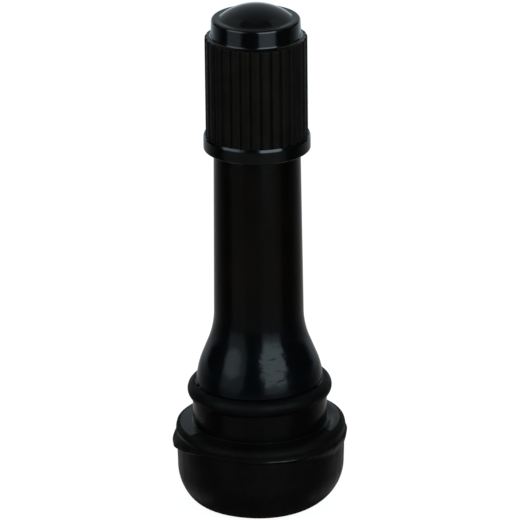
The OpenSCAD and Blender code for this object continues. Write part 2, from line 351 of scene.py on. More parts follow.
glossy_rubber = rubber_finish("body_rubber_glossy", gloss=0.17, roughness=(0.15, 0.22), ripple=0.020,
                              dark=(0.0016, 0.0011, 0.0008), light=(0.0024, 0.0017, 0.0013), creased=0.12)
matt_rubber = rubber_finish("body_rubber_matt", gloss=0.060, roughness=(0.42, 0.58), ripple=0.012,
                            dark=(0.0018, 0.0016, 0.0016), light=(0.0030, 0.0028, 0.0028))
dull_rubber = rubber_finish("body_rubber_dull", gloss=0.042, roughness=(0.46, 0.62), ripple=0.012,
                            dark=(0.0021, 0.0015, 0.0014), light=(0.0033, 0.0026, 0.0025))
print("finishes", glossy_rubber.name, matt_rubber.name, dull_rubber.name)

# %% [markdown]
# The rubber body is one moulding: a rounded base that stays inside the tyre, a groove that grips the
# rim's hole, a holding bump, and a bulb that tapers into the stem. Its outline follows the solid's. A
# curve through many points would do too, but arcs and straight runs keep each size a number of its own.

# %% Rubber outline
air_hole_r = 2.6
base_r = 8.85
base_round = 4.85
base_foot_r = 8.8
base_height = 9.3
seam_low = 6.4
seam_high = 8.3
shoulder_r = 8.95
shoulder_round = 0.6
shoulder_slope = 0.1
shoulder_turn = 85
shoulder_z = base_height - shoulder_slope - shoulder_round
groove_r = 7.05
groove_height = 2.97
groove_fillet = 0.1
bump_r = 7.58
bump_round = 0.9
bulb_r = 6.68
bulb_round = 9
crease_depth = 0.05
slope_lean = 22.2
slope_rise = 3.55
neck_r = 4.69
neck_top_r = 4.5
neck_round = 9.2
rubber_edge = 0.25
rubber_top = body_high[2]

bump_axis_r = bump_r - bump_round
bump_foot = np.degrees(np.arccos((groove_r - bump_axis_r) / bump_round))
bump_crease = np.degrees(np.arccos((bulb_r - crease_depth - bump_axis_r) / bump_round))
bump_z = base_height + groove_height + bump_round * np.sin(np.radians(bump_foot))
crease_z = bump_z + bump_round * np.sin(np.radians(bump_crease))
slope_half = (bulb_r - neck_r) / 2 / np.tan(np.radians(slope_lean))
slope_turn = np.tan(np.radians(slope_lean / 2))
bulb_z = crease_z + slope_rise - slope_half - bulb_round * slope_turn
neck_z = crease_z + slope_rise + slope_half + neck_round * slope_turn
bulb_start = np.degrees(np.arcsin((crease_z - bulb_z) / bulb_round))


def rubber_outside():
    """The rubber's outline from the air hole's edge, round the base and up to the stem's upper end."""
    return outline(
        [(air_hole_r, 0)],
        arc(base_foot_r - base_round, base_round, base_round, -90, 0, 34),
        np.linspace((base_foot_r, base_round), (base_r, seam_low), 8),
        np.linspace((base_r, seam_low), (base_r, seam_high), 64),
        np.linspace((base_r, seam_high), (shoulder_r, shoulder_z), 8),
        arc(shoulder_r - shoulder_round, shoulder_z, shoulder_round, 0, shoulder_turn, 12),
        arc(groove_r + groove_fillet, base_height + groove_fillet, groove_fillet, 270, 180, 9),
        straight((groove_r, base_height + groove_fillet), (groove_r, base_height + groove_height), 17),
        arc(bump_axis_r, bump_z, bump_round, -bump_foot, bump_crease, 26),
        arc(bulb_r - bulb_round, bulb_z, bulb_round, bulb_start, slope_lean, 16),
        arc(neck_r + neck_round, neck_z, neck_round, 180 + slope_lean, 180, 16),
        arc(neck_top_r - rubber_edge, rubber_top - rubber_edge, rubber_edge, 0, 90, 7))


print("the rubber's outline has", len(rubber_outside()), "points")

# %% [markdown]
# The two halves of the rubber's mould met round the base a little out of line, so the upper half overhangs
# the lower one in a ragged step that is largest at the left, with a thin lip of rubber on it at the front.
# A second ring of rubber could be laid on, but its joint would show. Instead the step is part of the
# surface: a ramp that swells down to the seam and falls away sharply under it, with a strength and a place
# that wander with the angle. A side here is an angle, counted from the right, and a power to narrow it.

# %% Mould seam
left_at = (180, 12)
right_at = (0, 4)
seam_r = body_high[0]
seam_z = 8.0
seam_sag = 1.1
seam_waves = ((0.04, 5, 0), (0.03, 13, 1))
step_strength = (0.5, 0.75, 0.2)
step_waves = ((0.05, 5, 0.4), (0.05, 11, 1.3), (0.05, 23, 0))
ramp_height = (1.25, 0.05, -0.55)
drop_height = (0.12, 0.25, 1.2)
lip_height = 0.1
lip_depth = 0.05
lip_at = (283, 90)
lip_mean = 0.75
lip_waves = ((0.25, 47, 0),)


def at_side(angle, side, power):
    """1 at one side and 0 opposite: half of one plus the cosine of the angle between, to a power."""
    return ((1 + np.cos(angle - np.radians(side))) / 2) ** power


def by_side(values, angle):
    """A number for all round, plus one that fades in towards the left and one towards the right."""
    everywhere, more_left, more_right = values
    left = more_left * at_side(angle, *left_at)
    return everywhere + left + more_right * at_side(angle, *right_at)


def waves(angle, terms):
    """A sum of sines, each with its size, its number of waves in a turn and its start."""
    return sum(size * np.sin(count * angle + start) for size, count, start in terms)


def seam_line(angle):
    """Height of the seam: it sags at the left, and a sum of sines makes it wander."""
    return seam_z - seam_sag * at_side(angle, *left_at) + waves(angle, seam_waves)


def lip_share(angle):
    """How much of the thin lip is left: all of it at its side and none elsewhere, with nicks in it."""
    return at_side(angle, *lip_at) * (lip_mean + waves(angle, lip_waves))


def seam_step(height, angle):
    """
    How far the surface stands out: a soft step above the seam's line and a sharper one under it, times a
    strength that a sum of sines makes ragged, plus the lip. At the right the steps change places.
    """
    away = height - seam_line(angle)
    strength = by_side(step_strength, angle) + waves(angle, step_waves)
    swell = smooth(1 - away / by_side(ramp_height, angle))
    drop = smooth(1 + away / by_side(drop_height, angle))
    lip = lip_depth * lip_share(angle) * np.minimum(np.clip(1 - away / lip_height, 0, 1), drop)
    return strength * (seam_r - base_r) * np.minimum(swell, drop) + lip


print("the seam's lowest point is at", round(seam_line(full_turn(360)).min(), 2), "mm")

# %% [markdown]
# Inside, the rubber is bonded to the brass tube, so its inner wall is the tube's own outside: a flange
# at the foot and four rings with a sharp step, which keep the tube from being pulled out. Rubber and tube
# could each have their own wall, but one outline for both leaves no gap between them.

# %% Anchor of the tube
flange_r = 4.2
flange_edge = 0.3
flange_thickness = 2
shank_r = 3.2
ring_depth = 0.3
ring_pitch = 2
ring_count = 4
tube_foot = stem_low[2]


def tube_anchor():
    """The brass tube's outline inside the rubber, from its foot up to the rubber's upper end."""
    flange_top = tube_foot + flange_thickness
    step = flange_top + ring_pitch * np.arange(1, ring_count + 1)
    ring = np.array([(shank_r, 0), (shank_r - ring_depth, 0), (shank_r, ring_pitch / 2)])
    rings = ring + step[:, None, None] * (0, 1)
    return np.vstack([
        [(flange_r - flange_edge, tube_foot), (flange_r, tube_foot + flange_edge)],
        [(flange_r, flange_top - flange_edge), (flange_r - flange_edge, flange_top), (shank_r, flange_top)],
        rings.reshape(-1, 2),
        [(shank_r, rubber_top)]])


print("the tube's outline in the rubber has", len(tube_anchor()), "points")

# %% [markdown]
# A soft moulding is never quite true. The bump is tilted, right side up. The shoulder under it is lifted
# at the right, a little wavy and dull in front. The base is slightly flat at the left and fuller below.
# A lattice could bend a finished mesh that way. Shifting the outline's radii and heights by soft steps,
# before it is carried round, does it with numbers that can be read, and leaves the rest round.

# %% Rubber body
row_margin = 0.01
shoulder_lift = 0.35
lift_at = (0, 3)
lift_across = (groove_r + 0.1, 0.8)
lift_above = (8.25, 0.6)
shoulder_waves = ((0.05, 41, 0),)
waves_at = (262, 30)
bump_tilt = 0.022
tilt_from = (base_height + 0.4, 2)
tilt_until = (crease_z + 0.5, 2.5)
left_flat = 0.1
flat_at = (180, 4)
flat_above = (0, 3)
foot_full = 0.55
foot_at = (205, 12)
dull_front = 0.6
dull_at = (270, 2)
dull_waves = ((0.05, 9, 0),)
lip_shown = 0.1


def rubber_heights(radius, height, angle):
    """
    Heights with the shoulder lifted at the right and wavy in front, and with the bump tilted. Soft steps
    fade the lift out towards the groove and downwards, and the tilt below the bump and above it.
    """
    on_shoulder = smooth(radius, *lift_across) * smooth(height, *lift_above) * (height < base_height)
    on_bump = smooth(height, *tilt_from) * (1 - smooth(height, *tilt_until))
    lift = shoulder_lift * at_side(angle, *lift_at)
    lift = lift + waves(angle, shoulder_waves) * at_side(angle, *waves_at)
    return height + lift * on_shoulder + bump_tilt * radius * np.cos(angle) * on_bump


def rubber_finishes(radius, height, angle):
    """
    Each face's finish as a number: 2, dull, on the base, the shoulder's front and the bump's lower half,
    1, matt, on the bump's upper half, and 0, glossy, on the rest and on the lip.
    """
    on_bump = (height > base_height + groove_height) & (height < crease_z - same_point)
    in_front = at_side(angle, *dull_at) + waves(angle, dull_waves) > dull_front
    on_top = (height < base_height + groove_fillet) & (radius > groove_r)
    on_base = (height < base_height - shoulder_slope - row_margin) | (on_top & in_front)
    away = height - seam_line(angle)
    on_lip = (away > 0) & (away < lip_height) & (lip_share(angle) > lip_shown)
    is_dull = (on_base & ~on_lip) | (on_bump & (height < bump_z))
    return np.where(is_dull, 2, np.where(on_bump, 1, 0)).ravel().astype(np.int32)


def make_rubber_body():
    """
    The rubber's outline and the tube's, last point first, as one closed section carried round the axis. At
    the left the base is a little flat, and its round is tighter, which moves its points outwards and down.
    """
    outside = rubber_outside()
    section = np.vstack([outside, tube_anchor()[::-1], [(air_hole_r, tube_foot)]])
    angle = full_turn(256)
    radius, height = section[:, :1], section[:, 1:]
    outer = np.arange(len(section))[:, None] < len(outside)
    on_round = outer & (height < base_round) & (radius > base_foot_r - base_round - same_point)
    on_side = outer & (radius > base_foot_r - row_margin)
    full = on_round * foot_full / base_round * at_side(angle, *foot_at)
    flat = (on_round | on_side) * smooth(height, *flat_above) * left_flat * at_side(angle, *flat_at)
    shaped = radius + full * (base_foot_r - radius) + on_side * seam_step(height, angle) - flat
    raised = np.where(outer, rubber_heights(radius, height, angle), height) - full * height
    body = lathe("moulded_rubber_body", np.minimum(shaped, seam_r), raised, angle, ring=True)
    for finish in (glossy_rubber, matt_rubber, dull_rubber):
        body.data.materials.append(finish)
    body.data.polygons.foreach_set("material_index", rubber_finishes(radius, height, angle))
    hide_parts("rubber_body")
    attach(body, "stem")


make_rubber_body()

# %% [markdown]
# The cap is black plastic from an injection mould. Its skirt, collar and dome are polished, so they show
# the lamps as clear bands, and its ribbed grip came out dull. One shader with two levels of roughness
# would do, but the gloss level differs too, and that has to be a plain number on each shader.

# %% Cap finishes
def cap_finish(name, gloss, roughness, ripple, dark, light):
    """Black plastic: cloudy blacks, an uneven polish between two roughnesses and a slight ripple."""
    material, shader, place = start_finish(name, gloss=gloss)
    cloud = noise(place, 0.6)
    colour = blend_colours(cloud, dark, light)
    coat(shader, colour, noise(place, 2.2), roughness, (cloud, ripple), (noise(place, 9.0), 0.0006))
    return material


cap_polished = cap_finish("cap_plastic_polished", gloss=0.40, roughness=(0.11, 0.17), ripple=0.004,
                          dark=(0.0012, 0.0012, 0.0012), light=(0.0020, 0.0020, 0.0020))
cap_satin = cap_finish("cap_plastic_satin", gloss=0.05, roughness=(0.42, 0.55), ripple=0.006,
                       dark=(0.0032, 0.0025, 0.0020), light=(0.0049, 0.0039, 0.0031))
print("finishes", cap_polished.name, cap_satin.name)

# %% [markdown]
# The cap screws onto the stem. From its foot up it has a smooth skirt, thirty upright ribs for the
# fingers, a plain collar and a low dome. The ribs could be cut with a boolean, but two outlines are
# cleaner: one through a rib's crest, one along a groove's floor. At each angle the surface takes a mix of
# the two, and the mix follows a high power, so that each rib is broad and each groove a narrow dark line.

# %% Cap outside
skirt_r = cap_high[0] + 0.13
skirt_edge = 0.15
skirt_bore_r = 4.7
bevel_height = 0.25
bevel_width = 0.1
cap_foot = cap_low[2]
cap_r = 5.3
skirt_height = 1.6
rib_z = cap_foot + skirt_height
rib_foot_rise = 0.1
grip_height = 10.55
rib_top = rib_z + grip_height
rib_count = 30
rib_turn = 5
rib_depth = 0.28
rib_edge = 0.2
groove_edge = 0.1
groove_power = 5
collar_r = 4.66
collar_top_r = 4.6
collar_height = 2
collar_edge = 0.3
collar_fillet = 0.3
collar_top = rib_top + collar_height
dome_r = 3.8
dome_end = 89.5
apex = cap_high[2]
dome_rise = apex - collar_top
dome_round = (dome_r ** 2 + dome_rise ** 2) / (2 * dome_rise)
dome_start = np.degrees(np.arccos(dome_r / dome_round))


def cap_outside(grip_r, grip_foot, top_edge, fillet_start):
    """The cap's outline from the skirt's bore up to the dome, with its grip at one radius."""
    return outline(
        [(skirt_bore_r, cap_foot)],
        arc(skirt_r - skirt_edge, cap_foot + skirt_edge, skirt_edge, -90, 0, 6),
        straight((skirt_r, rib_z - bevel_height), (skirt_r - bevel_width, rib_z), 7),
        straight((grip_r, grip_foot), (grip_r, rib_top - top_edge), 16),
        arc(grip_r - top_edge, rib_top - top_edge, top_edge, 0, 90, 6),
        arc(collar_r + collar_fillet, rib_top + collar_fillet, collar_fillet, fillet_start, 180, 8),
        arc(collar_top_r - collar_edge, collar_top - collar_edge, collar_edge, 0, 90, 8),
        arc(0, apex - dome_round, dome_round, dome_start, dome_end, 22))


def rib_angles():
    """Angles once round that crowd at the ribs' sides: the same thirteen places in each rib's share."""
    half = np.array([0.06, 0.18, 0.28, 0.36, 0.42, 0.47])
    sides = np.concatenate([-half[::-1], half, [0.5]])
    share = (np.arange(rib_count)[:, None] + sides).reshape(1, -1)
    return np.radians(rib_turn) + share * 2 * np.pi / rib_count


def groove_share(angle):
    """0 on a crest and 1 in a groove: a power of the distance from the rib's middle, in half ribs."""
    share = (angle - np.radians(rib_turn)) * rib_count / (2 * np.pi)
    away = np.abs(share - np.round(share))
    return (2 * away) ** groove_power


print("each rib and its groove take", round(2 * np.pi * cap_r / rib_count, 2), "mm")

# %% [markdown]
# Inside, the cap has a bore for its thread, a ledge that the sealing washer rests on, and a hollow top.
# A thread is a ridge whose height depends on one number, the turns that the angle and the height add up
# to. The cap and the stem use the same number, so their threads mesh at rest and while the cap turns.

# %% Threads
inch = 25.4
cap_pitch = inch / 32
crest_r = 3.85
thread_depth = 0.42
thread_clearance = 0.1
thread_flat = 0.16
thread_fade = 0.5


def thread_cut(height, angle, pitch):
    """Depth of a right-hand thread, 0 at a crest and 1 at a root: a zigzag of the turns with flat ends."""
    turns = height / pitch - angle / (2 * np.pi)
    zigzag = np.abs(2 * (turns - np.floor(turns)) - 1)
    return np.clip((zigzag - thread_flat) / (1 - 2 * thread_flat), 0, 1)


print("the cap rises", round(cap_pitch, 3), "mm a turn")

# %% Cap
axis_gap = 0.05
cap_bore_r = crest_r + thread_clearance
skirt_bore_z = rib_z - 0.1
mouth_z = stem_high[2]
washer_top = size_of("cap_seal")[1][2]
hollow_r = 3.16
roof = 1.3
hollow_top = collar_top - roof
hollow_edge = 0.5
cap_thread_low = skirt_bore_z + 0.3
cap_thread_high = mouth_z - 0.2
grip_margin = 0.005


def cap_inside():
    """The cap's inner outline from the middle of its hollow top down to the skirt's bore."""
    return outline(
        [(axis_gap, hollow_top)],
        arc(hollow_r - hollow_edge, hollow_top - hollow_edge, hollow_edge, 90, 0, 6),
        [(hollow_r, washer_top)],
        [(cap_bore_r, washer_top)],
        np.linspace((cap_bore_r, cap_thread_high), (cap_bore_r, cap_thread_low), 92),
        [(cap_bore_r, skirt_bore_z)],
        [(skirt_bore_r, skirt_bore_z)],
        [(skirt_bore_r, cap_foot)])


def make_cap():
    """
    Crest and floor outlines mixed by the angle, then the inner outline with its thread, from the dome to
    the hollow top. The polished finish has the number 0 and the satin one, on the grip and inside, 1.
    """
    angle = rib_angles()
    crest = cap_outside(cap_r, rib_z, rib_edge, 270)[::-1, :, None]
    floor = cap_outside(cap_r - rib_depth, rib_z + rib_foot_rise, groove_edge, 255)[::-1, :, None]
    outside = crest + (floor - crest) * groove_share(angle)
    inside = cap_inside()[::-1, :, None] + 0 * angle
    radius = np.concatenate([outside[:, 0], inside[1:, 0]])
    height = np.concatenate([outside[:, 1], inside[1:, 1]])
    in_bore = np.abs(radius - cap_bore_r) < same_point
    in_bore[:len(outside)] = False
    ends = smooth(height, cap_thread_low, thread_fade) * smooth(cap_thread_high - height, 0, thread_fade)
    ridge = thread_depth * thread_cut(height, angle, cap_pitch) * ends
    cap = lathe("ribbed_cap", radius - in_bore * ridge, height, angle, ring=False)
    cap.data.materials.append(cap_polished)
    cap.data.materials.append(cap_satin)
    rise = crest[:, 1, 0]
    on_grip = (rise < rib_top - grip_margin) & (rise > rib_z + grip_margin)
    dull = np.append(on_grip, np.ones(len(inside) - 2, bool))
    finishes = np.repeat(np.concatenate([dull, [0, 1]]), angle.size)
    cap.data.polygons.foreach_set("material_index", finishes.astype(np.int32))
    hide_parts("valve_cap")
    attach(cap, "cap")


make_cap()

# %% [markdown]
# The stem and the core are turned from brass bar. A lathe leaves fine rings round the work, so the
# finish reads height far more finely than it reads across, and the rings need no picture. A little
# tarnish darkens the colour in clouds.

# %% Brass finishes
def brass_finish(name, dark, light, roughness):
    """Turned brass: cloudy yellow metal with fine rings round the axis in its gloss and its surface."""
    material, shader, place = start_finish(name, metal=1)
    rings = noise(place, 9.0, stretch=(0.05, 0.05, 1))
    coat(shader, blend_colours(noise(place, 0.9), dark, light), rings, roughness, (rings, 0.003))
    return material


stem_brass = brass_finish("stem_brass", (0.50, 0.35, 0.15), (0.68, 0.50, 0.24), (0.24, 0.36))
core_brass = brass_finish("core_brass", (0.58, 0.43, 0.20), (0.72, 0.55, 0.28), (0.18, 0.30))
print("finishes", stem_brass.name, core_brass.name)

# %% [markdown]
# The brass tube carries air from the tyre to the core. Its upper end has the cap's thread outside and
# the core's thread inside. The outline is the plain blank, as it was turned, and the thread takes the
# smaller of two radii, the blank's and the thread's, just as the cutting tool does.

# %% Brass stem
thread_rows = 112
relief_r = 3.3
relief_height = 0.15
mouth_edge = 0.3
thread_edge = 0.4
core_thread_r = 2.65
core_pitch = inch / 36
core_thread_depth = 0.22
core_runout = 0.3
chamber_r = 1.98
passage_r = 1.25
seat_r = 2.35
core_low = size_of("core_plug")[0][2]
seat_top = size_of("barrel_gasket")[1][2] - 0.03
seat_low = seat_top - 1.9
chamber_low = size_of("core_pin")[0][2] - 2.1
thread_foot = rubber_top + relief_height + crest_r - relief_r


def stem_outside():
    """The tube's outline from its foot up to the edge of its mouth."""
    return outline(
        tube_anchor(),
        [(relief_r, rubber_top), (relief_r, rubber_top + relief_height), (crest_r, thread_foot)],
        np.linspace((crest_r, thread_foot), (crest_r, mouth_z - thread_edge), thread_rows),
        np.linspace((crest_r, mouth_z - thread_edge), (crest_r - thread_edge, mouth_z), 7))


def stem_bore():
    """The tube's inner outline from the edge of its mouth down to its foot."""
    return outline(
        np.linspace((core_thread_r + mouth_edge, mouth_z), (core_thread_r, mouth_z - mouth_edge), 5),
        np.linspace((core_thread_r, mouth_z - mouth_edge), (core_thread_r, core_low), thread_rows),
        [(core_thread_r, core_low - core_runout), (seat_r, core_low - 2 * core_runout)],
        [(seat_r, seat_top), (chamber_r, seat_low), (chamber_r, chamber_low)],
        [(passage_r, chamber_low - chamber_r + passage_r), (passage_r, tube_foot)])


def make_stem():
    """The blank's closed section carried round the axis, with both threads cut into it."""
    angle = full_turn(112)
    outside = stem_outside()
    blank = np.vstack([outside, stem_bore()])
    radius, height = blank[:, :1], blank[:, 1:]
    outer_cut = thread_cut(height, angle, cap_pitch) * smooth(height, thread_foot, thread_fade)
    inner_cut = thread_cut(height, angle, core_pitch) * smooth(height, core_low, thread_fade)
    cut_outside = np.minimum(radius, crest_r - thread_depth * outer_cut)
    cut_inside = np.maximum(radius, core_thread_r + core_thread_depth * inner_cut)
    outer = np.arange(len(blank))[:, None] < len(outside)
    threaded = np.where(outer, cut_outside, np.where(height >= core_low, cut_inside, radius))
    stem = lathe("threaded_brass_stem", threaded, height, angle, ring=True)
    stem.data.materials.append(stem_brass)
    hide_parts("brass_stem")
    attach(stem, "stem")


make_stem()

# %% [markdown]
# The core's pin is what a pump presses. It is a thin rod with a collar that the spring pushes against
# and a rivet head that holds the cup. Its tip is rounded over, because a flat tip with a sharp edge
# would look like cut wire.

# %% Core pin
pin_low, pin_high = size_of("core_pin")
pin_r = 0.45
tip_round = 0.25
rivet_r = 0.75
rivet_round = 0.15
rivet_top = size_of("valve_cup")[0][2]
pin_collar_r = pin_high[0]
pin_collar_low = size_of("core_spring")[1][2]
pin_collar_thickness = 0.4
pin_collar_edge = 0.08


def make_pin():
    """The pin's outline from its rivet up to its tip, carried round the axis."""
    collar_high = pin_collar_low + pin_collar_thickness
    profile = outline(
        [(axis_gap, pin_low[2])],
        arc(rivet_r - rivet_round, pin_low[2] + rivet_round, rivet_round, -90, 0, 6),
        [(rivet_r, rivet_top), (pin_r, rivet_top)],
        [(pin_r, pin_collar_low), (pin_collar_r, pin_collar_low)],
        arc(pin_collar_r - pin_collar_edge, collar_high - pin_collar_edge, pin_collar_edge, 0, 90, 5),
        [(pin_r, collar_high)],
        arc(pin_r - tip_round, pin_high[2] - tip_round, tip_round, 0, 90, 9),
        [(axis_gap, pin_high[2])])
    pin = lathe("turned_core_pin", profile[:, :1], profile[:, 1:], full_turn(48), ring=False)
    pin.data.materials.append(core_brass)
    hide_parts("core_pin")
    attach(pin, "pin")


make_pin()

# %% [markdown]
# The core's spring is drawn steel wire, coiled with its end turns closed. A bare helix would leave those
# ends pointing into the air, so the wire's rise is flat over the first and last turn and steep between.
# The spring stays in the stem. In the real valve it is squashed as the pin goes down, which this mesh does
# not do.

# %% Spring
def grained_finish(name, scale, stretch, dark, light, roughness, depth, **kind):
    """A finish whose colour, roughness and bumps all follow one pattern of noise."""
    material, shader, place = start_finish(name, **kind)
    grain = noise(place, scale, stretch=stretch)
    coat(shader, blend_colours(grain, dark, light), grain, roughness, (grain, depth))
    return material


spring_steel = grained_finish("spring_steel", 3.0, (1, 1, 4), (0.40, 0.40, 0.40), (0.56, 0.56, 0.55),
                              (0.22, 0.38), 0.002, metal=1)
spring_low, spring_high = size_of("core_spring")
wire_r = 0.15
coil_r = 0.95
coil_steps = 28
spring_turns = 11
end_pitch = 2.04 * wire_r


def make_spring():
    """
    A round wire along a coil: at each turn the wire's centre is one coil radius from the axis, and its
    height is read off a line that is flat over both end turns. The wire's circle stands across the coil.
    """
    length = spring_high[2] - spring_low[2]
    turn = np.linspace(0, spring_turns, spring_turns * coil_steps + 1)[:, None]
    rise = np.interp(turn, [0, 1, spring_turns - 1, spring_turns],
                     [wire_r, wire_r + end_pitch, length - wire_r - end_pitch, length - wire_r])
    round_wire = full_turn(12)
    radius = coil_r + wire_r * np.cos(round_wire)
    height = np.clip(rise + wire_r * np.sin(round_wire), 0, length) + spring_low[2]
    spring = lathe("coiled_core_spring", radius, height, 2 * np.pi * turn, ring=False)
    spring.data.materials.append(spring_steel)
    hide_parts("core_spring")
    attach(spring, "stem")
    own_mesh(spring)


make_spring()

# %% [markdown]
# Soft rubber closes the valve in three places: the washer in the cap, the barrel's gasket and the disc
# in the cup. The washer shows when the cap is off, so it gets rounded edges. The other pieces of the
# core are right as they are in the solids, and only need their finish.

# %% Seals and the rest of the core
seal_rubber = grained_finish("seal_rubber", 5.0, (1, 1, 1), (0.014, 0.014, 0.014), (0.030, 0.030, 0.030),
                             (0.55, 0.75), 0.006, gloss=0.25)
washer_hole_r = 1.6
washer_edge = 0.15


def make_washer():
    """A flat ring whose section is a rectangle with four rounded corners."""
    low, high = size_of("cap_seal")
    section = outline(
        arc(high[0] - washer_edge, low[2] + washer_edge, washer_edge, -90, 0, 5),
        arc(high[0] - washer_edge, high[2] - washer_edge, washer_edge, 0, 90, 5),
        arc(washer_hole_r + washer_edge, high[2] - washer_edge, washer_edge, 90, 180, 5),
        arc(washer_hole_r + washer_edge, low[2] + washer_edge, washer_edge, 180, 270, 5))
    washer = lathe("cap_washer", section[:, :1], section[:, 1:], full_turn(96), ring=True)
    washer.data.materials.append(seal_rubber)
    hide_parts("cap_seal")
    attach(washer, "washer")


make_washer()
for node, material in (("core_plug", core_brass), ("core_barrel", core_brass), ("valve_cup", core_brass),
                       ("barrel_gasket", seal_rubber), ("cup_seal", seal_rubber)):
    for material_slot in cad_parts[node].material_slots:
        material_slot.material = material
    print(node, "gets", material.name)

# %% [markdown]
# The valve stands on a pale floor that the camera sees as white. The floor mixes a dull white with a
# steady glow, so that it still takes the valve's shadow. The world is white to the camera and to
# reflections, and lights everything else with a weak even grey. A stronger lamp could whiten the floor
# as well, but it would bleach the valve.

# %% Floor and world
floor_r = 1200
floor_white = (0.8, 0.8, 0.8, 1)
floor_shade = (0.16, 0.16, 0.16, 1)
floor_glow = 0.93
world_light = 0.35


def sheet(name, points):
    """An open sheet over a grid of points in millimetres."""
    rows, columns = points.shape[:2]
    index = np.arange(rows * columns).reshape(rows, columns)
    corners = np.stack([index[:-1, :-1], index[:-1, 1:], index[1:, 1:], index[1:, :-1]], axis=-1)
    mesh = bpy.data.meshes.new(name)
    mesh.from_pydata((points.reshape(-1, 3) * MM).tolist(), [], corners.reshape(-1, 4).tolist())
    made = bpy.data.objects.new(name, mesh)
    bpy.context.scene.collection.objects.link(made)
    return made


def disc(name, inner, outer, height, start=-180, end=180, middle_y=0):
    """
    A flat ring, or a sector of one, between two radii: the radius times the sine and cosine of azimuths,
    which count from the side that faces the camera and are positive to the right.
    """
    azimuth = np.radians(np.linspace(start, end, 97))[None, :]
    radius = np.array([inner, outer])[:, None]
    away = middle_y - radius * np.cos(azimuth)
    return sheet(name, np.stack(np.broadcast_arrays(radius * np.sin(azimuth), away, height), axis=-1))


def bare_tree(owner):
    """The node tree of a material or a world, emptied."""
    owner.use_nodes = True
    owner.node_tree.nodes.clear()
    return owner.node_tree


def split_by_ray(shown, other, output_kind):
    """
    Wires one shader to camera, glossy and transmission rays and another to the rest: a mix by the largest
    of three outputs that are 1 for such a ray and 0 otherwise.
    """
    path = add(shown, "LightPath").outputs
    largest = path["Is Camera Ray"]
    for ray in ("Is Glossy Ray", "Is Transmission Ray"):
        larger = after(largest, "Math", 0)
        larger.operation = "MAXIMUM"
        join(path[ray], larger.inputs[1])
        largest = larger.outputs[0]
    choose = after(largest, "MixShader", 0)
    join(other.outputs[0], choose.inputs[1])
    join(shown.outputs[0], choose.inputs[2])
    after(choose.outputs[0], output_kind, "Surface")


def floor_finish():
    """A pale dull floor that glows to the camera and to reflections, with some of its shading left in."""
    material = bpy.data.materials.new("pale_floor")
    tree = bare_tree(material)
    dull = add(tree, "BsdfDiffuse", Color=floor_white)
    faint = add(tree, "BsdfDiffuse", Color=floor_shade)
    glow = add(tree, "Emission", Strength=floor_glow)
    both = after(faint.outputs[0], "AddShader", 0)
    join(glow.outputs[0], both.inputs[1])
    split_by_ray(both, dull, "OutputMaterial")
    return material


def light_world():
    """White at strength 1 for the rays that show the background, and an even weak light for the rest."""
    world = bpy.data.worlds.new("studio")
    tree = bare_tree(world)
    soft = add(tree, "Background", Color=(1, 1, 1, 1), Strength=world_light)
    white = add(tree, "Background", Color=(1, 1, 1, 1), Strength=1.0)
    split_by_ray(white, soft, "OutputWorld")
    bpy.context.scene.world = world


floor = disc("floor", 0.0, floor_r, 0)
floor.data.materials.append(floor_finish())
light_world()
print("the floor reaches", floor_r, "mm, and the world's light is", world_light)

# %% [markdown]
# Black rubber shows its form only through what it mirrors. A soft box stands at each side of the camera,
# with a wider and weaker fill box round it, and they draw the two upright bands on the bulb. A bare lamp
# would leave a hard spot there. Each box has a radiance, so that its size doesn't change how bright it is.

# %% Soft boxes
lamp_distance = 500
lamp_colour = (0.76, 0.97, 1.03)


def toward(azimuth, elevation):
    """A unit vector from the valve: an azimuth as for a disc, and an elevation above the floor."""
    a, e = np.radians(azimuth), np.radians(elevation)
    return Vector((np.sin(a) * np.cos(e), -np.cos(a) * np.cos(e), np.sin(e)))


def soft_box(name, azimuth, elevation, width, height, radiance, shape="RECTANGLE"):
    """A lamp that faces the valve: its power is its radiance times pi times its area."""
    lamp = bpy.data.lights.new(name, "AREA")
    lamp.shape = shape
    lamp.size = width * MM
    lamp.size_y = height * MM
    filled = np.pi / 4 if shape == "ELLIPSE" else 1
    lamp.energy = radiance * np.pi * filled * lamp.size * lamp.size_y
    lamp.color = lamp_colour
    box = bpy.data.objects.new(name, lamp)
    out = toward(azimuth, elevation)
    box.location = (out * lamp_distance + Vector((0, 0, look_at_height))) * MM
    box.rotation_mode = "QUATERNION"
    box.rotation_quaternion = out.to_track_quat("Z", "Y")
    box.visible_camera = False
    bpy.context.scene.collection.objects.link(box)


soft_box("right_soft_box", 30, 24, 400, 380, 3.1)
soft_box("right_fill_box", 30, 20, 400, 430, 1.1)
soft_box("left_soft_box", -60, 30, 370, 410, 1.75, "ELLIPSE")
soft_box("left_fill_box", -53, 24, 420, 500, 0.7)

# %% [markdown]
# Between and above the lamps the front has to stay dark, as a photographer's flags keep it, while the table
# shows soft bands and a wall behind lights the tops and the edges. Cards that only reflections see do
# all that. They take no light and cast no shadow, so the white floor stays as it is. A picture of a real
# studio could be mirrored instead, but each of these cards can be set by itself.

# %% Cards
def card_finish(name, glow):
    """A card that takes no light and only glows at one level, where 0 is black and 1 is white."""
    material = bpy.data.materials.new(name)
    light = add(bare_tree(material), "Emission", Strength=glow)
    after(light.outputs[0], "OutputMaterial", "Surface")
    return material


def grade(value, stops, tint):
    """Lets a value from 0 to 1 choose the card's glow: a tint times greys at listed positions."""
    colour = ramp(value, [(position, grey * np.array(tint)) for position, grey in stops])
    join(colour, value.id_data.nodes["Emission"].inputs["Color"])


def only_mirrored(card, material):
    """Shows a card to glossy rays alone, so that it takes no light and casts no shadow."""
    card.data.materials.append(material)
    for kind in ("camera", "diffuse", "transmission", "volume_scatter", "shadow"):
        setattr(card, "visible_" + kind, False)


print("a card is hidden from all but glossy rays")

